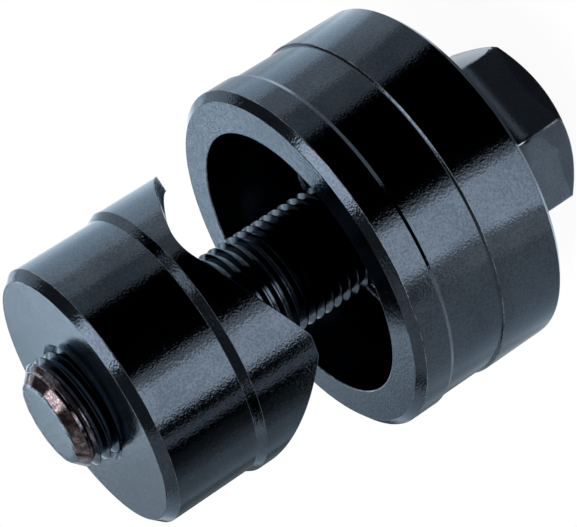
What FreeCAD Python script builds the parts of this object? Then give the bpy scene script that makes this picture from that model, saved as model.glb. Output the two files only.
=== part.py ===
import FreeCAD, Part
import math
import os

# Screw-drawn hole punch for sheet metal, standing on its hexagon head.
# Lengths are in millimetres and angles in degrees. Z runs up the screw, from the head to the punch.

# Sizes of the punched hole and the screw
hole_diameter = 40.5
screw_diameter = 16.0
screw_length = 72.2
end_chamfer = 2.0
thread_pitch = 1.5
thread_depth = 0.81
thread_length = 52.2
head_across_flats = 24.0
head_height = 10.0
head_chamfer_angle = 30.0
head_turn = 17.5
head_flat_share = 0.93
seat_diameter = 16.9
seat_length = 8.2
neck_chamfer = 0.4

# Die
die_outer_diameter = 53.0
die_height = 25.2
die_cavity_depth = 15.8
die_cavity_corner = 2.0
cutting_clearance = 0.15
land_depth = 5.0
relief_widening = 0.5
relief_taper_length = 1.0
face_chamfer_width = 1.3
face_chamfer_depth = 1.0
front_band_length = 4.8
middle_band_length = 8.3
middle_band_recess = 0.35
middle_band_bevel = 0.35
rear_chamfer = 0.8
bearing_recess_depth = 3.4

# Punch
punch_gap = 10.7
punch_body_diameter = 39.1
punch_back_chamfer_width = 1.2
punch_back_chamfer_depth = 1.3
punch_body_length = 12.5
flare_length = 1.25
crown_height = 10.2
crown_wall = 2.45
crown_points = 3
first_point_angle = 0.0
point_half_width = 1.6
facet_angle = 27.8
valley_root_radius = 12.0
recess_floor_rise = 0.4
recess_corner = 1.5
thread_mouth_chamfer = 0.8

# Ball thrust bearing
bearing_outer_diameter = 30.0
bearing_height = 9.0
washer_thickness = 3.3
ball_diameter = 3.97
ball_count = 14
washer_edge_chamfer = 0.5
cage_thickness = 1.2
cage_width = 4.8

# Clearances, each on one side
thread_clearance = 0.05
ball_clearance = 0.05
pocket_clearance = 0.12
race_clearance = 0.12
recess_clearance = 0.2
screw_bore_clearance = 0.5
shaft_washer_clearance = 0.05
shaft_washer_inset = 0.1
housing_washer_bore_clearance = 0.35

UP = FreeCAD.Vector(0, 0, 1)
CENTRE = FreeCAD.Vector(0, 0, 0)

# Heights that follow from the stack: head, bearing, die, gap, punch
shaft_washer_bottom = head_height
bearing_top = head_height + bearing_height
die_rear = bearing_top - bearing_recess_depth
die_front = die_rear + die_height
cavity_floor = die_front - die_cavity_depth
point_top = die_front + punch_gap
crown_base = point_top + crown_height
punch_face = crown_base + flare_length + punch_body_length + punch_back_chamfer_depth
screw_end = head_height + screw_length

crown_radius = hole_diameter / 2
die_radius = die_outer_diameter / 2
screw_radius = screw_diameter / 2
seat_radius = seat_diameter / 2
bearing_bore = seat_diameter + 2 * shaft_washer_clearance


def revolved(points):
    """Solid of revolution about Z from (radius, height) points, round the outline."""
    corners = [FreeCAD.Vector(r, 0, z) for r, z in points]
    outline = Part.makePolygon(corners + corners[:1])
    return Part.Face(outline).revolve(CENTRE, UP, 360)


def drilled(solid, radius, low, high):
    """The solid with a round hole on the axis from low to high."""
    return solid.cut(Part.makeCylinder(radius, high - low, FreeCAD.Vector(0, 0, low)))


def single(shape):
    """The one solid in a shape, with seams between matching faces removed."""
    cleaned = shape.removeSplitter()
    return cleaned.Solids[0] if len(cleaned.Solids) == 1 else cleaned


def rounded_edges(solid, radius, height, edge_radius):
    """The solid with its circular edges of that size and height rounded."""
    edges = []
    for edge in solid.Edges:
        circle = edge.Curve
        if isinstance(circle, Part.Circle):
            if abs(circle.Radius - edge_radius) < 1e-4 and abs(circle.Center.z - height) < 1e-4:
                edges.append(edge)
    return solid.makeFillet(radius, edges)


def make_thread_groove():
    """Helical groove that leaves the right-hand thread standing, up to past the screw's end."""
    reach = thread_pitch / 15
    root_radius = screw_radius - thread_depth
    half_root = thread_pitch / 8
    half_mouth = half_root + (thread_depth + reach) * math.tan(math.radians(30))
    start = screw_end - thread_length
    # One helix for each turn keeps the faces short and the cut sound.
    turns = []
    for index in range(math.ceil(thread_length / thread_pitch) + 1):
        turn = Part.makeHelix(thread_pitch, thread_pitch, root_radius)
        turn.translate(FreeCAD.Vector(0, 0, start + index * thread_pitch))
        turns.extend(turn.Edges)
    corners = [
        FreeCAD.Vector(root_radius, 0, start - half_root),
        FreeCAD.Vector(screw_radius + reach, 0, start - half_mouth),
        FreeCAD.Vector(screw_radius + reach, 0, start + half_mouth),
        FreeCAD.Vector(root_radius, 0, start + half_root),
    ]
    sweep = Part.BRepOffsetAPI.MakePipeShell(Part.Wire(turns))
    sweep.setBiNormalMode(UP)
    sweep.add(Part.Wire(Part.makePolygon(corners + corners[:1])))
    sweep.build()
    sweep.makeSolid()
    return sweep.shape()


def make_draw_screw():
    """Screw with a hexagon head, a bearing seat under the head, a thread and a chamfered end."""
    corner_radius = head_across_flats / math.sqrt(3)
    flat_radius = head_flat_share * head_across_flats / 2
    corner_drop = (corner_radius - flat_radius) * math.tan(math.radians(head_chamfer_angle))
    hexagon_corners = []
    for step in range(7):
        turn = math.radians(60 * step)
        hexagon_corners.append(FreeCAD.Vector(corner_radius * math.cos(turn), corner_radius * math.sin(turn), 0))
    prism = Part.Face(Part.makePolygon(hexagon_corners)).extrude(UP * head_height)
    # The turned chamfer cuts the six corners at the end face only.
    turned = revolved([
        (0, 0),
        (flat_radius, 0),
        (corner_radius, corner_drop),
        (corner_radius + 1, corner_drop),
        (corner_radius + 1, head_height),
        (0, head_height),
    ])
    head = prism.common(turned)
    head.rotate(CENTRE, UP, head_turn)
    seat_top = head_height + seat_length
    shank = revolved([
        (0, head_height),
        (seat_radius, head_height),
        (seat_radius, seat_top - neck_chamfer),
        (screw_radius, seat_top - neck_chamfer + (seat_radius - screw_radius)),
        (screw_radius, screw_end - end_chamfer),
        (screw_radius - end_chamfer, screw_end),
        (0, screw_end),
    ])
    shank = shank.cut(make_thread_groove())
    return single(head.fuse(shank))


def make_die():
    """Cup with the cutting edge at its mouth and a recess for the bearing at its rear."""
    mouth_radius = crown_radius + cutting_clearance
    relief_radius = mouth_radius + relief_widening
    band_radius = die_radius - middle_band_recess
    front_band_end = die_front - face_chamfer_depth - front_band_length
    middle_band_end = front_band_end - middle_band_length
    outline = [
        (0, die_rear),
        (die_radius - rear_chamfer, die_rear),
        (die_radius, die_rear + rear_chamfer),
        (die_radius, middle_band_end - middle_band_bevel),
        (band_radius, middle_band_end),
        (band_radius, front_band_end),
        (die_radius, front_band_end),
        (die_radius, die_front - face_chamfer_depth),
        (die_radius - face_chamfer_width, die_front),
        (0, die_front),
    ]
    cavity = revolved([
        (0, cavity_floor),
        (relief_radius, cavity_floor),
        (relief_radius, die_front - land_depth - relief_taper_length),
        (mouth_radius, die_front - land_depth),
        (mouth_radius, die_front),
        (0, die_front),
    ])
    cavity = rounded_edges(cavity, die_cavity_corner, cavity_floor, relief_radius)
    body = revolved(outline).cut(cavity)
    body = drilled(body, screw_radius + screw_bore_clearance, die_rear, cavity_floor)
    body = drilled(body, bearing_outer_diameter / 2 + recess_clearance, die_rear, bearing_top)
    return single(body)


def facet_fall(radius, angle):
    """How far a facet lies below the point's level, at a radius and an angle from the point.

    Beside the point a facet is level along the radius, and in the valley it is level again,
    so it twists on its way. The valley's root is rounded across its own line.
    """
    half_pitch = math.radians(180 / crown_points)
    slope = math.tan(math.radians(facet_angle))
    side = math.asin(math.sin(math.radians(facet_angle)) * math.cos(half_pitch))
    along = radius * math.cos(half_pitch - angle)
    across = radius * math.sin(half_pitch - angle)
    fall = slope * (radius * math.sin(angle) - point_half_width)
    if abs(across) < valley_root_radius * math.sin(side):
        line = slope * (math.sin(half_pitch) * along - point_half_width)
        arc = math.sqrt(valley_root_radius ** 2 - across ** 2) - valley_root_radius / math.cos(side)
        fall = line + arc / math.cos(math.atan(slope * math.sin(half_pitch)))
    width = radius * math.sin(half_pitch) - point_half_width
    share = max(0.0, radius * math.sin(angle) - point_half_width) / width
    return fall + slope * math.sin(half_pitch) * (crown_radius - radius) * share ** 2


def valley_curve(radius):
    """Curve of the valley at a radius, from inside one point's width to the next one's."""
    half_pitch = math.radians(180 / crown_points)
    first = 0.5 * math.asin(point_half_width / radius)
    steps = 16
    points = []
    for step in range(-steps, steps + 1):
        from_valley = (half_pitch - first) * step / steps
        fall = facet_fall(radius, half_pitch - abs(from_valley))
        turn = half_pitch + from_valley
        points.append(FreeCAD.Vector(radius * math.cos(turn), radius * math.sin(turn), -fall))
    curve = Part.BSplineCurve()
    curve.interpolate(Points=points, Parameters=[float(step) for step in range(2 * steps + 1)])
    return curve.toShape()


def make_valley_cutter():
    """Cutter for the valley between the point at angle 0 and the next one, above both facets."""
    inside = valley_curve(crown_radius - crown_wall - 1)
    outside = valley_curve(crown_radius + 1)
    return Part.makeRuledSurface(inside, outside).extrude(UP * (2 * crown_height))


def make_punch():
    """Threaded disc with a flared crown, cut by valleys into points round a recess.

    It is made with its points up and turned over, so that they face the die.
    """
    body_radius = punch_body_diameter / 2
    bore_radius = screw_radius + thread_clearance
    flare_top = punch_back_chamfer_depth + punch_body_length + flare_length
    point_height = flare_top + crown_height
    body = revolved([
        (0, 0),
        (body_radius - punch_back_chamfer_width, 0),
        (body_radius, punch_back_chamfer_depth),
        (body_radius, flare_top - flare_length),
        (crown_radius, flare_top),
        (crown_radius, point_height),
        (0, point_height),
    ])
    # The recess in the crown gives the sheet room to bend before it is cut.
    recess_floor = flare_top + recess_floor_rise
    recess_radius = crown_radius - crown_wall
    recess = Part.makeCylinder(recess_radius, crown_height, FreeCAD.Vector(0, 0, recess_floor))
    recess = rounded_edges(recess, recess_corner, recess_floor, recess_radius)
    body = body.cut(recess)
    cutter = make_valley_cutter()
    cutter.translate(FreeCAD.Vector(0, 0, point_height))
    for index in range(crown_points):
        valley = cutter.copy()
        valley.rotate(CENTRE, UP, 360 / crown_points * index)
        body = body.cut(valley)
    body = drilled(body, bore_radius, 0, point_height)
    for low, flip in ((0, 1), (recess_floor, -1)):
        mouth = Part.makeCone(
            bore_radius + thread_mouth_chamfer,
            bore_radius,
            thread_mouth_chamfer,
            FreeCAD.Vector(0, 0, low),
            UP * flip,
        )
        body = body.cut(mouth)
    body.rotate(CENTRE, FreeCAD.Vector(1, 0, 0), 180)
    body.rotate(CENTRE, UP, first_point_angle)
    body.translate(FreeCAD.Vector(0, 0, punch_face))
    return single(body)


pitch_radius = (bearing_outer_diameter + bearing_bore) / 4
ball_radius = ball_diameter / 2
ball_height = head_height + bearing_height / 2
race_radius = ball_radius + race_clearance


def make_washer(bottom, inner_radius, outer_radius, race_side):
    """Raceway washer with a groove on the side towards the balls (race_side +1 is its top)."""
    top = bottom + washer_thickness
    ring = Part.makeCylinder(outer_radius, washer_thickness, FreeCAD.Vector(0, 0, bottom))
    ring = drilled(ring, inner_radius, bottom, top)
    outer_edges = []
    for edge in ring.Edges:
        if isinstance(edge.Curve, Part.Circle) and abs(edge.Curve.Radius - outer_radius) < 1e-4:
            outer_edges.append(edge)
    ring = ring.makeChamfer(washer_edge_chamfer, outer_edges)
    race_centre = ball_height + race_side * (race_radius - ball_radius - ball_clearance)
    groove = Part.makeTorus(pitch_radius, race_radius, FreeCAD.Vector(0, 0, race_centre), UP)
    return single(ring.cut(groove))


def make_shaft_washer():
    """Washer that turns with the screw, on its seat under the head."""
    inner_radius = bearing_bore / 2
    outer_radius = bearing_outer_diameter / 2 - shaft_washer_inset
    return make_washer(shaft_washer_bottom, inner_radius, outer_radius, 1)


def make_housing_washer():
    """Washer that stays with the die, in its rear recess."""
    inner_radius = seat_radius + housing_washer_bore_clearance
    outer_radius = bearing_outer_diameter / 2
    return make_washer(bearing_top - washer_thickness, inner_radius, outer_radius, -1)


def ball_centres():
    """Centres of the balls, evenly spaced on the pitch circle."""
    centres = []
    for index in range(ball_count):
        turn = 2 * math.pi * index / ball_count
        centres.append(FreeCAD.Vector(pitch_radius * math.cos(turn), pitch_radius * math.sin(turn), ball_height))
    return centres


def make_ball_cage():
    """Flat ring between the washers with a pocket for each ball."""
    low = ball_height - cage_thickness / 2
    ring = Part.makeCylinder(pitch_radius + cage_width / 2, cage_thickness, FreeCAD.Vector(0, 0, low))
    ring = drilled(ring, pitch_radius - cage_width / 2, low, low + cage_thickness)
    for centre in ball_centres():
        pocket_base = FreeCAD.Vector(centre.x, centre.y, low)
        ring = ring.cut(Part.makeCylinder(ball_radius + pocket_clearance, cage_thickness, pocket_base))
    return single(ring)


os.makedirs("parts", exist_ok=True)

pieces = {
    "draw_screw": make_draw_screw(),
    "shaft_washer": make_shaft_washer(),
    "ball_cage": make_ball_cage(),
    "housing_washer": make_housing_washer(),
    "die": make_die(),
    "punch": make_punch(),
}
for number, centre in enumerate(ball_centres(), start=1):
    pieces["ball_%02d" % number] = Part.makeSphere(ball_radius, centre)

for name, shape in pieces.items():
    shape.exportStep("parts/%s.step" % name)
    print(name, len(shape.Solids), shape.isValid(), round(shape.Volume, 2), shape.BoundBox)
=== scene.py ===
"""Looks of a screw-drawn hole punch for sheet metal, standing on its hexagon head.

The blackened die, punch and draw screw are rebuilt here with their thread, softened edges, turning marks and oxide
grain. Lengths in the classes are millimetres and are turned into metres where a mesh is made. Z runs up the screw.
"""

import logging
import math
from dataclasses import dataclass
from enum import Enum

import bmesh
import bpy
import numpy as np
from bpy.types import Material, Mesh, Node, NodeInputs, NodeOutputs, NodeSocket, NodeTree, Object
from mathutils import Matrix, Vector


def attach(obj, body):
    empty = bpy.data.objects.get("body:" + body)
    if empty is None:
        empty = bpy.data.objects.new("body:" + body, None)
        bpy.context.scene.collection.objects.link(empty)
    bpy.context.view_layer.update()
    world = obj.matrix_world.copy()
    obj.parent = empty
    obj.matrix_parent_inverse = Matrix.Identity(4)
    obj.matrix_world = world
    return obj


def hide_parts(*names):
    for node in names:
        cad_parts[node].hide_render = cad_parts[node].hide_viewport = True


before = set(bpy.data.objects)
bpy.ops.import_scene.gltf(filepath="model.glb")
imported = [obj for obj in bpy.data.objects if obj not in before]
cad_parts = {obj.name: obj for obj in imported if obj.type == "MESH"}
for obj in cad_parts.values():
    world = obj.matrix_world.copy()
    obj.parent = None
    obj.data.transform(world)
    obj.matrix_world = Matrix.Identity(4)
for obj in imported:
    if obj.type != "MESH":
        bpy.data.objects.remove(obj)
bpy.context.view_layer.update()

MM = 0.001
log = logging.getLogger("hole_punch")

Colour = tuple[float, float, float, float]
Point = tuple[float, float, float]
Outline = list[tuple[float, float]]
Ring = tuple[np.ndarray, np.ndarray, np.ndarray]
Plug = NodeSocket | Material | float | Colour | Point
Layers = tuple[NodeSocket, NodeSocket, NodeSocket]
Group = tuple["Wiring", NodeOutputs, NodeInputs]

WHITE = (1, 1, 1, 1)
CARD_TINT = (0.93, 0.97, 1.0, 1)

# Ranges of a noise, or of a sum of two, over which an effect sets in.
STREAKS = (0.52, 0.68)
SPECKS = (0.60, 0.74)
CLOUDS = (0.36, 0.64)
WORN_PATCHES = (0.38, 0.66)
RUST_TONES = (0.66, 0.90)
ROUGH_PATCHES = (0.0, 1.5)

# Edge angles, in radians, and a width in metres, that sort the faces of a mesh.
SHARP_ABOVE = math.radians(28)
OUTWARD_ABOVE = math.radians(5)
ROUNDED_BELOW = math.radians(70)
FULLY_OUTWARD = math.radians(30)
NARROW = 0.45 * MM

# Steps of a rounded corner, and how far beside it, in millimetres, a point keeps the flat face flat.
CORNER_STEPS = 3
GUARD = 0.12

# Distances, in metres, under which points are one: in a ring mesh, and where the thread meets the shank.
WELD = 1e-7
WELD_THREAD = 2e-6


class Grain(Enum):
    """How the oxide lies on a piece: the size of its specks in millimetres."""

    FINE = 0.20
    MEDIUM = 0.32
    COARSE = 0.45


# ---- Nodes ----


@dataclass
class Wiring:
    """Adds nodes to one shader or geometry tree and joins them."""

    tree: NodeTree

    def node(self, kind: str, plugs: dict[str | int, Plug] | None = None, **settings: object) -> Node:
        """Adds one node.

        Args:
            kind: Blender's name of the node type.
            plugs: Input name or number, and the socket or value that goes into it.
            **settings: Attributes of the node itself.

        Returns:
            The new node.
        """
        made = self.tree.nodes.new(kind)
        for key, value in settings.items():
            setattr(made, key, value)
        for key, value in (plugs or {}).items():
            self.plug(made.inputs[key], value)
        return made

    def plug(self, socket: NodeSocket, value: Plug) -> None:
        """Joins a socket to an input, or sets the input's own value.

        Args:
            socket: Input to fill.
            value: Socket to join, or the value.
        """
        if isinstance(value, NodeSocket):
            self.tree.links.new(value, socket)
        else:
            socket.default_value = value

    def math(self, operation: str, *values: Plug, clamp: bool = False) -> NodeSocket:
        """Adds a Math node.

        Args:
            operation: Blender's name of the operation.
            *values: One to three inputs.
            clamp: Keeps the result from 0 to 1.

        Returns:
            The node's result.
        """
        return self.node("ShaderNodeMath", dict(enumerate(values)), operation=operation, use_clamp=clamp).outputs[0]

    def mix(self, share: Plug, first: Plug, second: Plug) -> NodeSocket:
        """Mixes two colours.

        Args:
            share: 0 gives the first colour and 1 the second.
            first: Colour at 0.
            second: Colour at 1.

        Returns:
            The mixed colour.
        """
        return self.node("ShaderNodeMix", {0: share, 6: first, 7: second}, data_type="RGBA").outputs[2]

    def ramp(self, value: Plug, low: float, high: float, start: float = 0.0, end: float = 1.0) -> NodeSocket:
        """Carries a value smoothly from one range to another.

        Args:
            value: Value to carry.
            low: Where the result is start.
            high: Where the result is end.
            start: Result at low.
            end: Result at high.

        Returns:
            The carried value.
        """
        plugs = {"Value": value, "From Min": low, "From Max": high, "To Min": start, "To Max": end}
        return self.node("ShaderNodeMapRange", plugs, interpolation_type="SMOOTHSTEP").outputs["Result"]

    def noise(self, place: Plug, scale: Plug, detail: float, roughness: float) -> NodeSocket:
        """Adds a Noise Texture node.

        Args:
            place: Where the noise is read.
            scale: Its waves in a metre.
            detail: Its octaves.
            roughness: Strength of each octave, as a share of the one before.

        Returns:
            The noise, from 0 to 1.
        """
        plugs = {"Vector": place, "Scale": scale, "Detail": detail, "Roughness": roughness}
        return self.node("ShaderNodeTexNoise", plugs).outputs[0]

    def from_axis(self) -> Layers:
        """Reads the place on the object against its Z axis.

        Returns:
            The level vector from the axis, its length, and the height.
        """
        axes = self.node("ShaderNodeSeparateXYZ", {0: self.place()}).outputs
        flat = self.node("ShaderNodeCombineXYZ", {0: axes[0], 1: axes[1]}).outputs[0]
        return flat, self.node("ShaderNodeVectorMath", {0: flat}, operation="LENGTH").outputs["Value"], axes[2]

    def place(self) -> NodeSocket:
        """Reads the place in the object's own coordinates."""
        return self.node("ShaderNodeTexCoord").outputs["Object"]


def new_material(name: str) -> tuple[Material, Wiring]:
    """Makes a material without nodes.

    Args:
        name: Its name.

    Returns:
        The material and the wiring of its tree.
    """
    made = bpy.data.materials.new(name)
    made.use_nodes = True
    made.node_tree.nodes.clear()
    return made, Wiring(made.node_tree)


def new_group(name: str, kind: str, inputs: dict[str, str], outputs: dict[str, str]) -> Group:
    """Makes a node group with its outer sockets.

    Args:
        name: Name of the group.
        kind: Shader or Geometry.
        inputs: Name and kind of each input.
        outputs: Name and kind of each output.

    Returns:
        The wiring of the group, the sockets that it is given, and those that it fills.
    """
    tree = bpy.data.node_groups.new(name, f"{kind}NodeTree")
    for way, sockets in (("INPUT", inputs), ("OUTPUT", outputs)):
        for label, plug in sockets.items():
            tree.interface.new_socket(name=label, in_out=way, socket_type=f"NodeSocket{plug}")
    return Wiring(tree), tree.nodes.new("NodeGroupInput").outputs, tree.nodes.new("NodeGroupOutput").inputs


def turned_marks_group() -> NodeTree:
    """Makes the fine lines that a lathe leaves, running round the axis on walls and faces alike.

    Returns:
        Group with Spacing (metres) and Length as inputs, and Height and Streaks, both from 0 to 1, as outputs.
    """
    inputs = {"Spacing": "Float", "Length": "Float"}
    w, given, out = new_group("turned_marks", "Shader", inputs, {"Height": "Float", "Streaks": "Float"})
    flat, radius, height = w.from_axis()
    around = w.node("ShaderNodeVectorMath", {0: flat}, operation="NORMALIZE").outputs[0]
    turn = w.node("ShaderNodeSeparateXYZ", {0: around}).outputs
    across = w.math("DIVIDE", radius, given["Spacing"])
    along = w.math("DIVIDE", height, given["Spacing"])
    east = w.math("MULTIPLY", turn[0], given["Length"])
    north = w.math("MULTIPLY", turn[1], given["Length"])
    vector = w.node("ShaderNodeCombineXYZ", {0: across, 1: along, 2: east}).outputs[0]
    plugs = {"Vector": vector, "W": north, "Scale": 1.0, "Detail": 2.0, "Roughness": 0.6}
    lines = w.node("ShaderNodeTexNoise", plugs, noise_dimensions="4D").outputs[0]
    w.plug(out["Height"], lines)
    w.plug(out["Streaks"], w.ramp(lines, *STREAKS))
    return w.tree


def oxide_grain_group() -> NodeTree:
    """Makes the speckled, slightly cloudy skin of oil-blackened steel.

    Returns:
        Group with the two colours and the speck and cloud sizes as inputs, and colour, height and specks as outputs.
    """
    inputs = {"Dark": "Color", "Light": "Color", "Speck Size": "Float", "Cloud Size": "Float"}
    outputs = {"Colour": "Color", "Height": "Float", "Specks": "Float"}
    w, given, out = new_group("oxide_grain", "Shader", inputs, outputs)
    place = w.place()
    fine = w.noise(place, w.math("DIVIDE", 1.0, given["Speck Size"]), 1.5, 0.5)
    cloud = w.noise(place, w.math("DIVIDE", 1.0, given["Cloud Size"]), 4.0, 0.6)
    share = w.math("ADD", w.math("MULTIPLY", fine, 0.6), w.math("MULTIPLY", cloud, 0.4))
    w.plug(out["Colour"], w.mix(w.ramp(share, *CLOUDS), given["Dark"], given["Light"]))
    w.plug(out["Height"], fine)
    w.plug(out["Specks"], w.ramp(fine, *SPECKS))
    return w.tree


def edge_wear_group() -> NodeTree:
    """Makes edges that handling has rubbed brighter, broken up along their length.

    Returns:
        Group that takes the skin's colour, the bare colour, how much is worn and in what patches, and gives the colour.
    """
    inputs = {"Colour": "Color", "Bare": "Color", "Amount": "Float", "Patch Size": "Float"}
    w, given, out = new_group("edge_wear", "Shader", inputs, {"Colour": "Color"})
    edge = w.node("ShaderNodeAttribute", attribute_name="edge").outputs["Fac"]
    patch = w.noise(w.place(), w.math("DIVIDE", 1.0, given["Patch Size"]), 4.0, 0.7)
    broken = w.math("MULTIPLY", edge, w.ramp(patch, *WORN_PATCHES))
    worn = w.math("MULTIPLY", broken, given["Amount"], clamp=True)
    w.plug(out["Colour"], w.mix(worn, given["Colour"], given["Bare"]))
    return w.tree


@dataclass(frozen=True)
class Effects:
    """The effects that several finishes share."""

    turned_marks: NodeTree
    oxide_grain: NodeTree
    edge_wear: NodeTree

    @classmethod
    def build(cls) -> "Effects":
        """Builds each group once."""
        return cls(turned_marks_group(), oxide_grain_group(), edge_wear_group())


# ---- Finishes ----


@dataclass(frozen=True)
class GroundSteel:
    """Bare ground or pressed steel, faintly marked by its making. Sizes are in millimetres."""

    name: str
    dark: Colour = (0.46, 0.47, 0.48, 1)
    light: Colour = (0.62, 0.63, 0.64, 1)
    grazing_tint: Colour = WHITE
    roughness: float = 0.16
    roughness_swing: float = 0.08
    mark_spacing: float = 0.12
    mark_length: float = 3.0
    mark_depth: float = 0.0006
    grain: Grain = Grain.COARSE
    cloud_size: float = 3.0

    def material(self, effects: Effects) -> Material:
        """Builds the material.

        Args:
            effects: Shared node groups.

        Returns:
            The material.
        """
        made, w = new_material(self.name)
        speck, cloud = self.grain.value * MM, self.cloud_size * MM
        plugs = {"Dark": self.dark, "Light": self.light, "Speck Size": speck, "Cloud Size": cloud}
        grain = w.node("ShaderNodeGroup", plugs, node_tree=effects.oxide_grain)
        plugs = {"Spacing": self.mark_spacing * MM, "Length": self.mark_length}
        marks = w.node("ShaderNodeGroup", plugs, node_tree=effects.turned_marks)
        colour, rough, relief = self.layers(w, effects, grain.outputs, marks.outputs)
        bump = w.node("ShaderNodeBump", {"Strength": 1.0, "Distance": 1.0, "Height": relief})
        plugs = {"Base Color": colour, "Roughness": rough, "Normal": bump.outputs[0], "Metallic": 1.0}
        shader = w.node("ShaderNodeBsdfPrincipled", plugs)
        shader.inputs["Specular Tint"].default_value = self.grazing_tint
        w.node("ShaderNodeOutputMaterial", {"Surface": shader.outputs[0]})
        return made

    def layers(self, w: Wiring, effects: Effects, grain: NodeOutputs, marks: NodeOutputs) -> Layers:
        """Lays the colour, the roughness and the relief over each other.

        Args:
            w: Wiring of the material.
            effects: Shared node groups.
            grain: Outputs of the grain.
            marks: Outputs of the turning marks.

        Returns:
            Colour, roughness and relief in metres.
        """
        rough = w.ramp(marks["Streaks"], 0.0, 1.0, self.roughness, self.roughness + self.roughness_swing)
        return grain["Colour"], rough, w.math("MULTIPLY", marks["Height"], self.mark_depth * MM)


@dataclass(frozen=True)
class BlackenedSteel(GroundSteel):
    """Steel with an oiled black oxide over the marks, rubbed brighter at its edges."""

    dark: Colour = (0.038, 0.048, 0.062, 1)
    light: Colour = (0.060, 0.074, 0.092, 1)
    grazing_tint: Colour = (0.77, 0.87, 0.96, 1)
    roughness: float = 0.10
    roughness_swing: float = 0.06
    mark_spacing: float = 0.30
    mark_depth: float = 0.0016
    grain: Grain = Grain.MEDIUM
    cloud_size: float = 7.0
    grain_depth: float = 0.022
    bare: Colour = (0.34, 0.36, 0.39, 1)
    wear: float = 0.45
    wear_patch: float = 2.5
    bared_end_from: float | None = None
    bared_end_radius: float = 5.9
    bared_end_fade: float = 3.0
    bared_end_ragged: float = 4.0
    bared_end_border: float = 0.12
    blotches_per_metre: float = 900.0
    end_dark: Colour = (0.052, 0.041, 0.045, 1)
    end_light: Colour = (0.24, 0.175, 0.18, 1)

    def layers(self, w: Wiring, effects: Effects, grain: NodeOutputs, marks: NodeOutputs) -> Layers:
        """Lays the oxide, its specks, the turning marks and the worn edges over each other.

        Args:
            w: Wiring of the material.
            effects: Shared node groups.
            grain: Outputs of the grain.
            marks: Outputs of the turning marks.

        Returns:
            Colour, roughness and relief in metres.
        """
        skin = grain["Colour"]
        if self.bared_end_from is not None:
            skin = self.bared_end(w, skin, grain["Height"])
        plugs = {"Colour": skin, "Bare": self.bare, "Amount": self.wear, "Patch Size": self.wear_patch * MM}
        wear = w.node("ShaderNodeGroup", plugs, node_tree=effects.edge_wear)
        swing = w.math("ADD", grain["Specks"], marks["Streaks"])
        rough = w.ramp(swing, *ROUGH_PATCHES, self.roughness, self.roughness + self.roughness_swing)
        fine = w.math("MULTIPLY", grain["Height"], self.grain_depth * MM)
        turned = w.math("MULTIPLY", marks["Height"], self.mark_depth * MM)
        return wear.outputs["Colour"], rough, w.math("ADD", fine, turned)

    def bared_end(self, w: Wiring, skin: NodeSocket, fine: NodeSocket) -> NodeSocket:
        """Colours the end chamfer and first thread with the copper brown of rubbed, lightly rusted steel.

        Args:
            w: Wiring of the material.
            skin: Colour of the rest.
            fine: Grain height, which mottles the rust.

        Returns:
            The colour with the bared end.
        """
        radius, height = w.from_axis()[1:]
        blotch = w.noise(w.place(), self.blotches_per_metre, 5.0, 0.75)
        ragged = w.math("ADD", height, w.math("MULTIPLY", w.math("SUBTRACT", blotch, 0.5), self.bared_end_ragged * MM))
        start, inner = self.bared_end_from, self.bared_end_radius
        top = w.ramp(ragged, start * MM, (start + self.bared_end_fade) * MM)
        side = w.ramp(radius, inner * MM, (inner + self.bared_end_border) * MM)
        mottle = w.ramp(w.math("ADD", blotch, w.math("MULTIPLY", fine, 0.5)), *RUST_TONES)
        return w.mix(w.math("MULTIPLY", top, side), skin, w.mix(mottle, self.end_dark, self.end_light))


# ---- Mesh tools ----


def softened(points: Outline, radius: float) -> Outline:
    """Rounds the corners of a profile, with a support point beside each so that the flats stay flat.

    Args:
        points: Radius and height of each corner.
        radius: Radius of the rounding.

    Returns:
        The rounded profile, whose two end points stay.
    """
    made: Outline = [points[0]]
    for before, here, after in zip(points, points[1:], points[2:]):
        corner = Vector(here)
        back, ahead = Vector(before) - corner, Vector(after) - corner
        turn = math.pi - back.angle(ahead)
        cut = min(radius * math.tan(turn / 2), 0.3 * back.length, 0.3 * ahead.length)
        guard = min(cut + GUARD, 0.45 * back.length, 0.45 * ahead.length)
        start, end = corner + back.normalized() * cut, corner + ahead.normalized() * cut
        made.append(tuple(corner + back.normalized() * guard))
        for step in range(CORNER_STEPS + 1):
            t = step / CORNER_STEPS
            made.append(tuple(start * (1 - t) ** 2 + corner * 2 * t * (1 - t) + end * t**2))
        made.append(tuple(corner + ahead.normalized() * guard))
    return [*made, points[-1]]


def cove(radius: float, floor: float, corner: float, rise: int) -> Outline:
    """Rounds the inner corner between a round wall and a floor.

    Args:
        radius: Radius of the wall.
        floor: Height of the floor.
        corner: Radius of the rounding.
        rise: 1 where the wall stands on the floor, and -1 where it hangs under it.

    Returns:
        Radius and height of its points, from the wall to the floor.
    """
    turns = [math.radians(a) for a in range(0, 91, 15)]
    return [(radius - corner * (1 - math.cos(t)), floor + rise * corner * (1 - math.sin(t))) for t in turns]


def even_angles(count: int) -> np.ndarray:
    """Gives the angles of evenly spaced columns, once round."""
    return np.linspace(0, 2 * math.pi, count, endpoint=False)


def even_rings(outline: Outline, angles: np.ndarray) -> list[Ring]:
    """Turns a profile into one level ring of points for each of its corners.

    Args:
        outline: Radius and height of each point.
        angles: Angles of the columns.

    Returns:
        A ring for each point.
    """
    ones = np.ones_like(angles)
    return [(ones * r, angles, ones * z) for r, z in outline]


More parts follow.
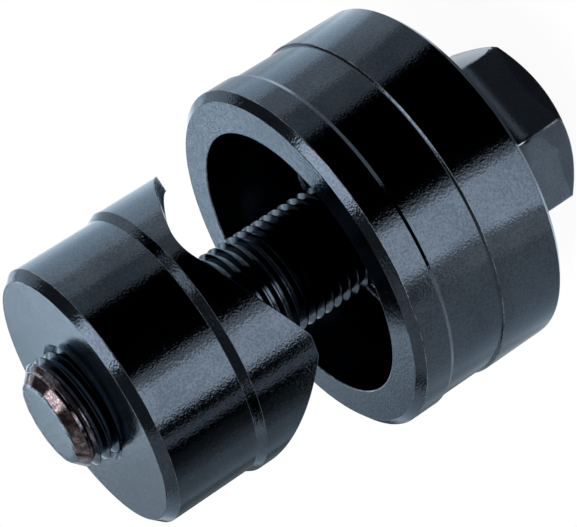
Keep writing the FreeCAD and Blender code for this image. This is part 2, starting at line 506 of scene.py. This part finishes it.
def ring_mesh(name: str, rings: list[Ring], closed: bool = True) -> Mesh:
    """Skins a stack of rings.

    Args:
        name: Name of the mesh.
        rings: Radius, angle and height of each point of each ring, in millimetres and radians.
        closed: Whether the last ring joins the first, as on a piece with a bore.

    Returns:
        The mesh, in metres.
    """
    count = len(rings[0][0])
    points = np.concatenate([np.stack([r * np.cos(a), r * np.sin(a), z], axis=1) for r, a, z in rings]) * MM
    bm = bmesh.new()
    verts = [bm.verts.new(p) for p in points]
    for row in range(len(rings) if closed else len(rings) - 1):
        low, high = row * count, ((row + 1) % len(rings)) * count
        for column in range(count):
            beside = (column + 1) % count
            bm.faces.new((verts[low + column], verts[low + beside], verts[high + beside], verts[high + column]))
    bmesh.ops.remove_doubles(bm, verts=bm.verts, dist=WELD)
    if closed:
        bmesh.ops.recalc_face_normals(bm, faces=bm.faces)
    mesh = bpy.data.meshes.new(name)
    bm.to_mesh(mesh)
    bm.free()
    return mesh


def finished_mesh(mesh: Mesh) -> None:
    """Shades the faces and stores on each how much it belongs to an outer edge.

    A face does where it is narrow and bends outwards on two of its sides, as on a broken edge or a thread's crest.

    Args:
        mesh: Mesh to finish.
    """
    bm = bmesh.new()
    bm.from_mesh(mesh)
    amount = np.zeros(len(bm.faces), np.float32)
    for edge in bm.edges:
        edge.smooth = len(edge.link_faces) == 2 and edge.calc_face_angle(0.0) < SHARP_ABOVE
    for face in bm.faces:
        face.smooth = True
        bends = {edge: edge.calc_face_angle_signed(0.0) for edge in face.edges if len(edge.link_faces) == 2}
        outward = {edge: bend for edge, bend in bends.items() if bend > OUTWARD_ABOVE}
        length = max((edge.calc_length() for edge in outward), default=1.0)
        if len(outward) >= 2 and face.calc_area() / length < NARROW:
            amount[face.index] = min(1.0, sum(outward.values()) / FULLY_OUTWARD)
            for edge, bend in outward.items():
                edge.smooth = bend < ROUNDED_BELOW
    bm.to_mesh(mesh)
    bm.free()
    mesh.attributes.new("edge", "FLOAT", "FACE").data.foreach_set("value", amount)


def placed(name: str, mesh: Mesh, material: Material) -> Object:
    """Puts a mesh into the scene.

    Args:
        name: Name of the piece.
        mesh: Its mesh, in place.
        material: Its finish.

    Returns:
        The object, at the origin.
    """
    mesh.materials.clear()
    mesh.materials.append(material)
    piece = bpy.data.objects.new(name, mesh)
    bpy.context.scene.collection.objects.link(piece)
    return piece


def grown(host: Object, tree: NodeTree, values: dict[str, float | int | Material]) -> Mesh:
    """Runs a geometry tree on an object and gives the result as a plain mesh.

    Args:
        host: Object that carries the modifier. It is removed.
        tree: Geometry tree.
        values: Value for each named input.

    Returns:
        The finished mesh.
    """
    modifier = host.modifiers.new("tree", "NODES")
    modifier.node_group = tree
    for item in tree.interface.items_tree:
        if item.item_type == "SOCKET" and item.in_out == "INPUT" and item.name in values:
            modifier[item.identifier] = values[item.name]
    bpy.context.view_layer.update()
    graph = bpy.context.evaluated_depsgraph_get()
    mesh = bpy.data.meshes.new_from_object(host.evaluated_get(graph))
    host.modifiers.clear()
    bpy.data.objects.remove(host)
    return mesh


# ---- Pieces ----


@dataclass
class Die:
    """Cup with a cutting mouth, three bands round it and a recess for the bearing at its rear."""

    rear: float = 15.6
    front: float = 40.8
    radius: float = 26.5
    rear_chamfer: float = 0.8
    rear_band_top: float = 26.4
    middle_band_low: float = 26.62
    middle_band_top: float = 35.0
    front_band_low: float = 35.7
    middle_band_radius: float = 26.15
    front_band_top: float = 39.8
    face_radius: float = 25.2
    mouth_radius: float = 20.4
    land_low: float = 35.8
    relief_radius: float = 20.9
    relief_top: float = 34.8
    floor: float = 25.0
    floor_corner: float = 2.0
    bore: float = 8.5
    recess_top: float = 19.0
    recess_radius: float = 15.2
    softening: float = 0.16
    columns: int = 288

    def outline(self) -> Outline:
        """Gives the section, round from the bearing recess over the outside to the cavity.

        Returns:
            Radius and height of its points.
        """
        outside = [
            (self.recess_radius, self.recess_top),
            (self.recess_radius, self.rear),
            (self.radius - self.rear_chamfer, self.rear),
            (self.radius, self.rear + self.rear_chamfer),
            (self.radius, self.rear_band_top),
            (self.middle_band_radius, self.middle_band_low),
            (self.middle_band_radius, self.middle_band_top),
            (self.radius, self.front_band_low),
            (self.radius, self.front_band_top),
            (self.face_radius, self.front),
        ]
        mouth = [(self.mouth_radius, self.front), (self.mouth_radius, self.land_low)]
        well = [(self.relief_radius, self.relief_top), *cove(self.relief_radius, self.floor, self.floor_corner, 1)]
        bore = [(self.bore, self.floor), (self.bore, self.recess_top)]
        soft = softened([*outside, *mouth], self.softening)
        return soft[1:-1] + mouth[1:] + well + bore + outside[:1]

    def build(self, material: Material) -> Object:
        """Builds and dresses the die.

        Args:
            material: Its finish.

        Returns:
            The piece.
        """
        mesh = ring_mesh("die_cup", even_rings(self.outline(), even_angles(self.columns)))
        finished_mesh(mesh)
        piece = placed("die_cup", mesh, material)
        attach(piece, "die_unit")
        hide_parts("die")
        return piece


@dataclass
class Punch:
    """Threaded disc with a flared cutting crown of three points round a recess."""

    face: float = 76.75
    face_radius: float = 18.35
    chamfer_low: float = 75.45
    body_radius: float = 19.55
    body_low: float = 62.95
    crown_radius: float = 20.25
    crown_base: float = 61.7
    point: float = 51.5
    points: int = 3
    point_half_width: float = 1.6
    facet_angle: float = 27.8
    valley_radius: float = 12.0
    inner_radius: float = 17.8
    recess_floor: float = 61.3
    recess_corner: float = 1.5
    bore: float = 8.05
    bore_chamfer: float = 0.8
    softening: float = 0.14
    edge_break: float = 0.08
    crown_land: float = 0.9
    rings_across_edge: int = 6
    columns_at_point: int = 3
    columns_on_facet: int = 28
    columns_in_valley: int = 8

    def column_angles(self, radius: float) -> np.ndarray:
        """Gives the angles of the columns at a radius, so that one runs along each ridge and each valley's border.

        Args:
            radius: Radius of the ring.

        Returns:
            Angles in radians, once round.
        """
        half = math.pi / self.points
        ridge = math.asin(self.point_half_width / radius)
        border = half - math.asin(self.valley_radius * math.sin(self.side_angle()) / radius)
        share = np.concatenate([
            np.linspace(0, ridge, self.columns_at_point, endpoint=False),
            np.linspace(ridge, border, self.columns_on_facet, endpoint=False),
            np.linspace(border, half, self.columns_in_valley, endpoint=False),
        ])
        one = np.concatenate([share, [half], half * 2 - share[:0:-1]])
        return np.concatenate([one + 2 * half * k for k in range(self.points)])

    def side_angle(self) -> float:
        """Gives the slope of a valley's sides across its own line."""
        return math.asin(math.sin(math.radians(self.facet_angle)) * math.cos(math.pi / self.points))

    def edge_height(self, radius: float, angles: np.ndarray) -> np.ndarray:
        """Gives the height of the crown's facets, level along the radius at the points and in the valleys.

        Args:
            radius: Radius of the ring.
            angles: Angles of its points.

        Returns:
            Height at each angle.
        """
        half = math.pi / self.points
        slope = math.tan(math.radians(self.facet_angle))
        from_point = np.abs((angles + half) % (2 * half) - half)
        facet = slope * np.maximum(0.0, radius * np.sin(from_point) - self.point_half_width)
        along = radius * np.cos(half - from_point)
        across = radius * np.sin(half - from_point)
        side = self.side_angle()
        line = slope * (math.sin(half) * along - self.point_half_width)
        arc = np.sqrt(np.maximum(0.0, self.valley_radius**2 - across**2)) - self.valley_radius / math.cos(side)
        root = line + arc / math.cos(math.atan(slope * math.sin(half)))
        planar = np.where(across < self.valley_radius * math.sin(side), root, facet)
        width = radius * math.sin(half) - self.point_half_width
        share = np.maximum(0.0, radius * np.sin(from_point) - self.point_half_width) / width
        return self.point + planar + slope * math.sin(half) * (self.crown_radius - radius) * share**2

    def rings(self) -> list[Ring]:
        """Gives the rings, from the back face over the outside and the crown into the recess and the bore.

        Returns:
            A ring for each point of the section.
        """
        outer, inner = self.column_angles(self.crown_radius), self.column_angles(self.inner_radius)
        outside = softened(
            [
                (self.bore + self.bore_chamfer, self.face),
                (self.face_radius, self.face),
                (self.body_radius, self.chamfer_low),
                (self.body_radius, self.body_low),
                (self.crown_radius, self.crown_base),
                (self.crown_radius, self.crown_base - self.crown_land),
            ],
            self.softening,
        )
        made = even_rings(outside[:1], inner) + even_rings(outside[1:], outer)
        broken, guard = self.edge_break, self.edge_break + GUARD
        wall, well = self.crown_radius, self.inner_radius
        across = np.linspace(wall - guard, well + guard, self.rings_across_edge)
        crown = [(radius, 0.0) for radius in (wall - broken, *across, well + broken)]
        for radius, lift in [(wall, guard), (wall, broken), *crown, (well, broken), (well, guard)]:
            angles = self.column_angles(radius)
            made.append((np.full_like(angles, radius), angles, self.edge_height(radius, angles) + lift))
        inside = [
            *cove(self.inner_radius, self.recess_floor, self.recess_corner, -1),
            (self.bore + self.bore_chamfer, self.recess_floor),
            (self.bore, self.recess_floor + self.bore_chamfer),
            (self.bore, self.face - self.bore_chamfer),
        ]
        return made + even_rings(inside, inner)

    def build(self, material: Material) -> Object:
        """Builds and dresses the punch.

        Args:
            material: Its finish.

        Returns:
            The piece.
        """
        mesh = ring_mesh("punch_crown", self.rings())
        finished_mesh(mesh)
        piece = placed("punch_crown", mesh, material)
        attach(piece, "punch_unit")
        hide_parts("punch")
        return piece


@dataclass
class DrawScrew:
    """Hexagon-headed screw with a fine right-hand thread, whose crest and flank are shares of its pitch."""

    across_flats: float = 24.0
    head_height: float = 10.0
    chamfer_start: float = 11.16
    chamfer_angle: float = 30.0
    head_turn: float = 17.5
    seat_radius: float = 8.45
    seat_top: float = 17.8
    shank_radius: float = 8.0
    thread_start: float = 30.0
    end: float = 82.2
    end_chamfer: float = 2.0
    pitch: float = 1.5
    root_radius: float = 7.19
    run_out: float = 2.5
    columns: int = 120
    rows_per_turn: int = 16
    edge_bevel: float = 0.18
    bevelled_above: float = 12.0
    foot_rim: float = 0.6
    seat_fillet: float = 0.3
    crest_half: float = 1 / 16
    flank: float = 5 / 16
    lead_in: float = 1.5
    end_closing: float = 7.0

    def head(self) -> Mesh:
        """Builds the head, the seat and the plain part of the shank, open where the thread begins.

        Returns:
            The mesh.
        """
        angles = even_angles(self.columns)
        from_flat = (angles - math.radians(self.head_turn)) % (math.pi / 3) - math.pi / 6
        side = self.across_flats / 2 / np.cos(from_flat)
        ones = np.ones_like(angles)
        drop = (side - self.chamfer_start) * math.tan(math.radians(self.chamfer_angle))
        rings: list[Ring] = [
            (ones * 0, angles, ones * 0),
            (ones * (self.chamfer_start - self.foot_rim), angles, ones * 0),
            (ones * self.chamfer_start, angles, ones * 0),
            (side, angles, drop),
            (side, angles, ones * self.head_height),
        ]
        stem = [
            (self.seat_radius + self.seat_fillet, self.head_height),
            (self.seat_radius, self.head_height + self.seat_fillet),
            (self.seat_radius, self.seat_top),
            (self.shank_radius, self.seat_top + self.seat_radius - self.shank_radius),
            (self.shank_radius, self.thread_start),
        ]
        mesh = ring_mesh("screw_head", rings + even_rings(stem, angles), closed=False)
        self.bevel(mesh)
        return mesh

    def bevel(self, mesh: Mesh) -> None:
        """Breaks the head's outer edges.

        Args:
            mesh: Head mesh, changed in place.
        """
        bm = bmesh.new()
        bm.from_mesh(mesh)
        bmesh.ops.recalc_face_normals(bm, faces=bm.faces)
        # These are the edges beyond the foot's rim, up to the head's upper face.
        inside, above = self.chamfer_start * MM * 0.99, (self.head_height + 0.01) * MM
        least = math.radians(self.bevelled_above)
        edges = []
        for edge in bm.edges:
            outer = all(v.co.xy.length > inside and v.co.z < above for v in edge.verts)
            if outer and len(edge.link_faces) == 2 and edge.calc_face_angle(0.0) > least:
                edges.append(edge)
        width = self.edge_bevel * MM
        bmesh.ops.bevel(bm, geom=edges, offset=width, segments=2, profile=0.5, affect="EDGES", clamp_overlap=True)
        bm.to_mesh(mesh)
        bm.free()

    def thread_tree(self) -> NodeTree:
        """Makes the tree that winds a grid into a threaded rod and joins it to the head.

        The grid's rows follow the helix, so one turn ends on the row a turn further on.

        Returns:
            The geometry tree.
        """
        lengths = ("Start", "End", "Pitch", "Major Radius", "Root Radius", "End Chamfer", "Run Out")
        counts = ("Turns", "Columns", "Rows")
        inputs = {"Head": "Geometry", **dict.fromkeys(lengths, "Float"), **dict.fromkeys(counts, "Int")}
        inputs["Finish"] = "Material"
        w, g, out = new_group("threaded_rod", "Geometry", inputs, {"Geometry": "Geometry"})
        rows = w.math("ADD", w.math("MULTIPLY", g["Turns"], g["Rows"]), 1.0)
        plugs = {"Size X": 1.0, "Size Y": 1.0, "Vertices X": w.math("ADD", g["Columns"], 1.0), "Vertices Y": rows}
        grid = w.node("GeometryNodeMeshGrid", plugs).outputs["Mesh"]
        place = w.node("ShaderNodeSeparateXYZ", {0: w.node("GeometryNodeInputPosition").outputs[0]}).outputs
        round_share = w.math("ADD", place[0], 0.5)
        angle = w.math("MULTIPLY", round_share, 2 * math.pi)
        turns = w.math("MULTIPLY", w.math("ADD", place[1], 0.5), g["Turns"])
        past_start = w.math("SUBTRACT", turns, self.lead_in - self.crest_half)
        climb = w.math("MULTIPLY", w.math("ADD", past_start, round_share), g["Pitch"])
        height = w.math("ADD", g["Start"], climb)
        phase = w.math("FRACT", w.math("ADD", turns, 0.5 + self.crest_half))
        from_crest = w.math("ABSOLUTE", w.math("SUBTRACT", phase, 0.5))
        depth = w.math("DIVIDE", w.math("SUBTRACT", from_crest, self.crest_half), self.flank, clamp=True)
        entry = w.math("DIVIDE", w.math("SUBTRACT", height, g["Start"]), g["Run Out"], clamp=True)
        full_depth = w.math("SUBTRACT", g["Major Radius"], g["Root Radius"])
        cut = w.math("MULTIPLY", w.math("MULTIPLY", depth, entry), full_depth)
        wound = w.math("SUBTRACT", g["Major Radius"], cut)
        past_cone = w.math("MAXIMUM", w.math("SUBTRACT", height, w.math("SUBTRACT", g["End"], g["End Chamfer"])), 0.0)
        past_end = w.math("MAXIMUM", w.math("SUBTRACT", height, g["End"]), 0.0)
        inward = w.math("ADD", past_cone, w.math("MULTIPLY", past_end, self.end_closing))
        cone = w.math("SUBTRACT", g["Major Radius"], inward)
        radius = w.math("MAXIMUM", w.math("MINIMUM", wound, cone), 0.0)
        level = w.math("MINIMUM", w.math("MAXIMUM", height, g["Start"]), g["End"])
        east, north = (w.math("MULTIPLY", radius, w.math(wave, angle)) for wave in ("COSINE", "SINE"))
        spot = w.node("ShaderNodeCombineXYZ", {0: east, 1: north, 2: level}).outputs[0]
        rod = w.node("GeometryNodeSetPosition", {"Geometry": grid, "Position": spot}).outputs[0]
        join = w.node("GeometryNodeJoinGeometry")
        for part in (rod, g["Head"]):
            w.plug(join.inputs[0], part)
        plugs = {"Geometry": join.outputs[0], "Distance": WELD_THREAD}
        merged = w.node("GeometryNodeMergeByDistance", plugs).outputs[0]
        real = w.node("GeometryNodeRealizeInstances", {"Geometry": merged}).outputs[0]
        dressed = w.node("GeometryNodeSetMaterial", {"Geometry": real, "Material": g["Finish"]}).outputs[0]
        w.plug(out[0], dressed)
        return w.tree

    def build(self, material: Material) -> Object:
        """Builds and dresses the screw.

        Args:
            material: Its finish.

        Returns:
            The piece.
        """
        values = {
            "Start": self.thread_start * MM,
            "End": self.end * MM,
            "Pitch": self.pitch * MM,
            "Major Radius": self.shank_radius * MM,
            "Root Radius": self.root_radius * MM,
            "End Chamfer": self.end_chamfer * MM,
            "Run Out": self.run_out * MM,
            "Turns": math.ceil((self.end - self.thread_start) / self.pitch) + 2,
            "Columns": self.columns,
            "Rows": self.rows_per_turn,
            "Finish": material,
        }
        mesh = grown(placed("screw_host", self.head(), material), self.thread_tree(), values)
        mesh.name = "draw_screw_threaded"
        finished_mesh(mesh)
        piece = placed("draw_screw_threaded", mesh, material)
        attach(piece, "screw_unit")
        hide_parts("draw_screw")
        return piece


@dataclass
class ThrustBearing:
    """Ball thrust bearing between the head and the die."""

    middle: float = 14.5
    pitch_radius: float = 11.75
    ball_radius: float = 1.985
    balls: int = 14
    race_radius: float = 2.105
    race_offset: float = 0.07
    washer_thickness: float = 3.3
    half_height: float = 4.5
    edge_chamfer: float = 0.5
    lower_radii: tuple[float, float] = (8.5, 14.9)
    upper_radii: tuple[float, float] = (8.8, 15.0)
    columns: int = 192
    race_steps: int = 12
    ball_segments: int = 40
    ball_rings: int = 24

    def washer(self, name: str, radii: tuple[float, float], side: int, material: Material) -> Object:
        """Builds one raceway washer.

        Args:
            name: Name of the piece.
            radii: Radius of its bore and outer radius.
            side: -1 for the washer below the balls and 1 for the one above.
            material: Its finish.

        Returns:
            The piece.
        """
        inner, outer = radii
        far = self.middle + side * self.half_height
        near = far - side * self.washer_thickness
        centre, race = self.middle - side * self.race_offset, self.race_radius
        reach = math.acos(abs(near - centre) / race)
        turns = np.linspace(-reach, reach, self.race_steps + 1)
        groove = [(self.pitch_radius + race * math.sin(t), centre + side * race * math.cos(t)) for t in turns]
        rim = outer - self.edge_chamfer
        edge = side * self.edge_chamfer
        outside = [(rim, near), (outer, near + edge), (outer, far - edge), (rim, far)]
        outline = [(inner, far), (inner, near), *groove, *outside]
        mesh = ring_mesh(name, even_rings(outline, even_angles(self.columns)))
        finished_mesh(mesh)
        return placed(name, mesh, material)

    def ball_tree(self) -> NodeTree:
        """Makes the tree that sets the balls round the pitch circle.

        Returns:
            The geometry tree.
        """
        lengths = dict.fromkeys(("Pitch Radius", "Ball Radius", "Height"), "Float")
        inputs = {"Geometry": "Geometry", "Balls": "Int", **lengths, "Finish": "Material"}
        w, g, out = new_group("ball_ring", "Geometry", inputs, {"Geometry": "Geometry"})
        ring = w.node("GeometryNodeMeshCircle", {"Vertices": g["Balls"], "Radius": g["Pitch Radius"]}).outputs[0]
        lift = w.node("ShaderNodeCombineXYZ", {2: g["Height"]}).outputs[0]
        raised = w.node("GeometryNodeSetPosition", {"Geometry": ring, "Offset": lift}).outputs[0]
        plugs = {"Segments": self.ball_segments, "Rings": self.ball_rings, "Radius": g["Ball Radius"]}
        ball = w.node("GeometryNodeMeshUVSphere", plugs).outputs[0]
        smooth = w.node("GeometryNodeSetShadeSmooth", {"Geometry": ball, "Shade Smooth": True}).outputs[0]
        spread = w.node("GeometryNodeInstanceOnPoints", {"Points": raised, "Instance": smooth}).outputs[0]
        real = w.node("GeometryNodeRealizeInstances", {"Geometry": spread}).outputs[0]
        dressed = w.node("GeometryNodeSetMaterial", {"Geometry": real, "Material": g["Finish"]}).outputs[0]
        w.plug(out[0], dressed)
        return w.tree

    def build(self, steel: Material, cage: Material) -> list[Object]:
        """Builds and dresses the bearing.

        Args:
            steel: Finish of the washers and balls.
            cage: Finish of the cage.

        Returns:
            The pieces.
        """
        lower = self.washer("shaft_washer_ground", self.lower_radii, -1, steel)
        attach(lower, "screw_unit")
        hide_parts("shaft_washer")
        upper = self.washer("housing_washer_ground", self.upper_radii, 1, steel)
        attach(upper, "die_unit")
        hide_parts("housing_washer")
        host = placed("ball_host", bpy.data.meshes.new("ball_host"), steel)
        values = {
            "Balls": self.balls,
            "Pitch Radius": self.pitch_radius * MM,
            "Ball Radius": self.ball_radius * MM,
            "Height": self.middle * MM,
            "Finish": steel,
        }
        mesh = grown(host, self.ball_tree(), values)
        mesh.name = "bearing_balls"
        balls = placed("bearing_balls", mesh, steel)
        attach(balls, "ball_set")
        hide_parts(*[f"ball_{n:02d}" for n in range(1, self.balls + 1)])
        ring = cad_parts["ball_cage"]
        ring.data.materials.clear()
        ring.data.materials.append(cage)
        return [lower, upper, balls, ring]


# ---- Studio ----


@dataclass(frozen=True)
class FloorCard:
    """Part of a ring laid just over the floor, seen only in the metal. Without strength it holds the light back.

    Azimuths are in degrees from +X towards +Y, and radii in millimetres from the screw's axis.
    """

    name: str
    start: float
    end: float
    inner: float
    outer: float
    strength: float = 0.0
    height: float = 2.0

    def build(self) -> None:
        """Builds the card in steps of about two degrees."""
        steps = max(2, math.ceil(abs(self.end - self.start) / 2))
        turns = [math.radians(self.start + (self.end - self.start) * i / steps) for i in range(steps + 1)]
        level, radii = self.height * MM, (self.inner, self.outer)
        points = [(r * math.cos(t) * MM, r * math.sin(t) * MM, level) for t in turns for r in radii]
        faces = [(2 * i, 2 * i + 1, 2 * i + 3, 2 * i + 2) for i in range(steps)]
        studio_card(self.name, points, faces, self.strength)


@dataclass(frozen=True)
class HungCard:
    """Flat card that hangs round the object, seen only in the metal. Without strength it holds the light back."""

    name: str
    centre: Point
    across: Point
    upward: Point
    strength: float = 0.0

    def build(self) -> None:
        """Builds the card from its centre and its two half sides."""
        middle, side, rise = Vector(self.centre), Vector(self.across), Vector(self.upward)
        points = [tuple((middle + side * i + rise * j) * MM) for i, j in ((-1, -1), (1, -1), (1, 1), (-1, 1))]
        studio_card(self.name, points, [(0, 1, 2, 3)], self.strength)


def studio_card(name: str, points: list[Point], faces: list[tuple[int, ...]], strength: float) -> None:
    """Makes a card that only reflections see.

    Args:
        name: Name of the card.
        points: Its corners, in metres.
        faces: Its faces.
        strength: Brightness, where 0 is black and 1 is white.
    """
    material, w = new_material(name)
    light = w.node("ShaderNodeEmission", {"Color": CARD_TINT, "Strength": strength})
    w.node("ShaderNodeOutputMaterial", {"Surface": light.outputs[0]})
    mesh = bpy.data.meshes.new(name)
    mesh.from_pydata(points, [], faces)
    card = placed(name, mesh, material)
    for rays in ("camera", "diffuse", "transmission", "volume_scatter", "shadow"):
        setattr(card, f"visible_{rays}", False)


# What the dark steel mirrors, from under the camera round to the rear.
CARDS = (
    FloorCard("flag_near_camera", -96, -36, 42, 900),
    FloorCard("flag_under_head", -108, -25, 6, 16, 0.1, 0.1),
    FloorCard("grey_by_head", -100, -30, 13, 30, 0.15),
    FloorCard("glow_by_head", -215, -126, 13, 30, 1.4),
    FloorCard("flag_by_die", -134, -78, 28, 42),
    FloorCard("grey_by_die", -78, 100, 30, 42, 0.75),
    FloorCard("grey_beside_flag", -36, -16, 42, 900, 0.5),
    FloorCard("strip_left_near", -128, -100.5, 42, 140, 3.1),
    FloorCard("strip_left_far", -134.5, -104.5, 140, 900, 3.1),
    FloorCard("dip_left_near", -190, -142, 42, 140, 0.75),
    FloorCard("dip_left_edge", -142, -132, 98, 140, 0.35),
    FloorCard("flag_left_a", -147, -137, 140, 900),
    FloorCard("grey_left_0", -156, -147, 140, 900, 0.6),
    FloorCard("flag_left_b", -165, -156, 140, 900),
    FloorCard("grey_left_a", -175, -165, 140, 900, 0.08),
    FloorCard("grey_left_b", -181, -175, 140, 900, 0.17),
    FloorCard("grey_left_c", -190, -181, 140, 900, 0.33),
    FloorCard("grey_left_d", -225, -190, 140, 900, 0.55),
    FloorCard("grey_left_e", -250, -225, 140, 900, 0.22),
    FloorCard("grey_behind_a", 88, 110, 42, 900, 0.10),
    FloorCard("grey_behind_b", 110, 130, 42, 140, 0.25),
    FloorCard("grey_behind_c", 130, 150, 42, 140, 0.5),
    FloorCard("grey_behind_d", 150, 170, 42, 140, 0.75),
    FloorCard("glow_right_a", 6, 30, 42, 900, 1.8),
    FloorCard("glow_right_b", 30, 42, 42, 130, 1.1),
    FloorCard("grey_right", 42, 66, 42, 130, 0.8),
    FloorCard("glow_right_c", 30, 55, 130, 900, 1.65),
    FloorCard("glow_right_d", 55, 70, 130, 900, 1.35),
    FloorCard("glow_right_e", 70, 86, 130, 900, 1.6),
    FloorCard("glow_right_f", 66, 86, 42, 130, 1.5),
    HungCard("ceiling", (0, 0, 520), (700, 0, 0), (0, 700, 0), 0.12),
    HungCard("ceiling_rear", (0, 430, 512), (260, 0, 0), (0, 230, 0), 0.9),
    HungCard("ceiling_left", (-500, 80, 505), (210, 0, 0), (0, 350, 0), 0.62),
    HungCard("ceiling_left_near", (-195, 30, 500), (95, 0, 0), (0, 90, 0), 0.5),
    HungCard("overhead_glow", (154, -70, 450), (108, 0, 0), (0, 115, 0), 5.0),
    HungCard("flare_glow", (330, -370, 450), (110, 0, 0), (0, 90, 0), 1.8),
    HungCard("flag_right", (650, -60, 420), (0, 230, 0), (0, 0, 110)),
    HungCard("flag_left", (-650, -90, 420), (0, 200, 0), (0, 0, 110)),
    HungCard("grey_rear_left", (-498, 418, 210), (180, 214, 0), (0, 0, 150), 0.85),
    HungCard("rear_glow", (180, 620, 375), (240, 0, 0), (0, 0, 85), 1.55),
    HungCard("rear_glow_low", (200, 620, 276), (220, 0, 0), (0, 0, 13), 4.2),
    HungCard("rear_low_right", (200, 640, 195), (190, 0, 0), (0, 0, 75), 0.62),
    HungCard("rear_low_left", (-200, 640, 195), (210, 0, 0), (0, 0, 75), 0.60),
    HungCard("rear_horizon", (230, 640, 100), (190, 0, 0), (0, 0, 18), 2.2),
    HungCard("rear_left", (-225, 630, 320), (165, 0, 0), (0, 0, 50), 0.64),
)


@dataclass
class Studio:
    """Pale floor, white surround, soft lamp, reflection cards and the camera."""

    camera_place: Point = (0.0, -302.56, 159.136)
    camera_right: Point = (-0.54290, -0.30277, -0.78332)
    camera_up: Point = (0.83980, -0.19790, -0.50555)
    lens: float = 147.908
    sensor: float = 36.0
    floor_reach: float = 3000.0
    floor_share: float = 0.06
    floor_colour: Colour = (0.9, 0.9, 0.9, 1)
    lamp_place: Point = (-250.0, -350.0, 1100.0)
    lamp_width: float = 800.0
    lamp_power: float = 6.0

    def floor(self) -> None:
        """Builds the floor, white to the camera and in reflections, with the object's soft shadow."""
        material, w = new_material("pale_floor")
        path = w.node("ShaderNodeLightPath").outputs
        mirrored = w.math("MAXIMUM", path["Is Glossy Ray"], path["Is Transmission Ray"])
        share = w.math("MAXIMUM", mirrored, w.math("MULTIPLY", path["Is Camera Ray"], 1 - self.floor_share))
        matt = w.node("ShaderNodeBsdfDiffuse", {"Color": self.floor_colour})
        white = w.node("ShaderNodeEmission", {"Color": WHITE, "Strength": 1.0})
        mixed = w.node("ShaderNodeMixShader", {0: share, 1: matt.outputs[0], 2: white.outputs[0]})
        w.node("ShaderNodeOutputMaterial", {"Surface": mixed.outputs[0]})
        reach = self.floor_reach * MM
        mesh = bpy.data.meshes.new("pale_floor")
        corners = [(-reach, -reach, 0), (reach, -reach, 0), (reach, reach, 0), (-reach, reach, 0)]
        mesh.from_pydata(corners, [], [(0, 1, 2, 3)])
        made = placed("pale_floor", mesh, material)

    def surround(self) -> None:
        """Makes the world white to the camera and in reflections, and an even soft light otherwise."""
        world = bpy.data.worlds.new("white_surround")
        bpy.context.scene.world = world
        world.use_nodes = True
        world.node_tree.nodes.clear()
        w = Wiring(world.node_tree)
        light = w.node("ShaderNodeBackground", {"Color": WHITE, "Strength": 1.0})
        w.node("ShaderNodeOutputWorld", {"Surface": light.outputs[0]})

    def lamp(self) -> None:
        """Hangs the large soft lamp that gives the object its shadow."""
        data = bpy.data.lights.new("soft_lamp", "AREA")
        data.shape = "DISK"
        data.size = self.lamp_width * MM
        data.energy = self.lamp_power
        lamp = bpy.data.objects.new("soft_lamp", data)
        lamp.location = [along * MM for along in self.lamp_place]
        lamp.rotation_mode = "QUATERNION"
        lamp.rotation_quaternion = (-lamp.location).to_track_quat("-Z", "Y")
        lamp.visible_glossy = False
        bpy.context.scene.collection.objects.link(lamp)

    def camera(self) -> None:
        """Places the camera at the photograph's viewpoint."""
        right, up = Vector(self.camera_right).normalized(), Vector(self.camera_up)
        back = right.cross(up).normalized()
        up = back.cross(right)
        data = bpy.data.cameras.new("camera")
        data.lens = self.lens
        data.sensor_width = self.sensor
        data.clip_start, data.clip_end = 0.01, 20.0
        made = bpy.data.objects.new("camera", data)
        turn = Matrix((right, up, back)).transposed().to_4x4()
        made.matrix_world = Matrix.Translation(Vector(self.camera_place) * MM) @ turn
        bpy.context.scene.collection.objects.link(made)
        bpy.context.scene.camera = made

    def build(self) -> None:
        """Builds the whole studio."""
        self.camera()
        self.floor()
        self.surround()
        self.lamp()
        for card in CARDS:
            card.build()
        bpy.context.scene.view_settings.view_transform = "Standard"


@dataclass(frozen=True)
class Finishes:
    """The finish of each kind of piece."""

    die: BlackenedSteel = BlackenedSteel("blackened_die", mark_depth=0.0011, mark_spacing=0.26, mark_length=1.0)
    punch: BlackenedSteel = BlackenedSteel("blackened_punch", mark_depth=0.0008)
    screw: BlackenedSteel = BlackenedSteel(
        "blackened_screw", roughness=0.12, grain=Grain.FINE, grain_depth=0.009, wear=0.60, bared_end_from=78.6
    )
    bearing: GroundSteel = GroundSteel("ground_bearing_steel")
    cage: GroundSteel = GroundSteel(
        "pressed_cage", dark=(0.38, 0.38, 0.39, 1), light=(0.50, 0.50, 0.51, 1), roughness=0.3
    )


def main() -> None:
    """Builds the pieces and the studio."""
    logging.basicConfig(level=logging.INFO, format="%(name)s: %(message)s")
    effects = Effects.build()
    finishes = Finishes()
    pieces = [
        Die().build(finishes.die.material(effects)),
        Punch().build(finishes.punch.material(effects)),
        DrawScrew().build(finishes.screw.material(effects)),
        *ThrustBearing().build(finishes.bearing.material(effects), finishes.cage.material(effects)),
    ]
    for piece in pieces:
        log.info("%s: %d points, %d faces", piece.name, len(piece.data.vertices), len(piece.data.polygons))
    Studio().build()


if __name__ == "__main__":
    main()
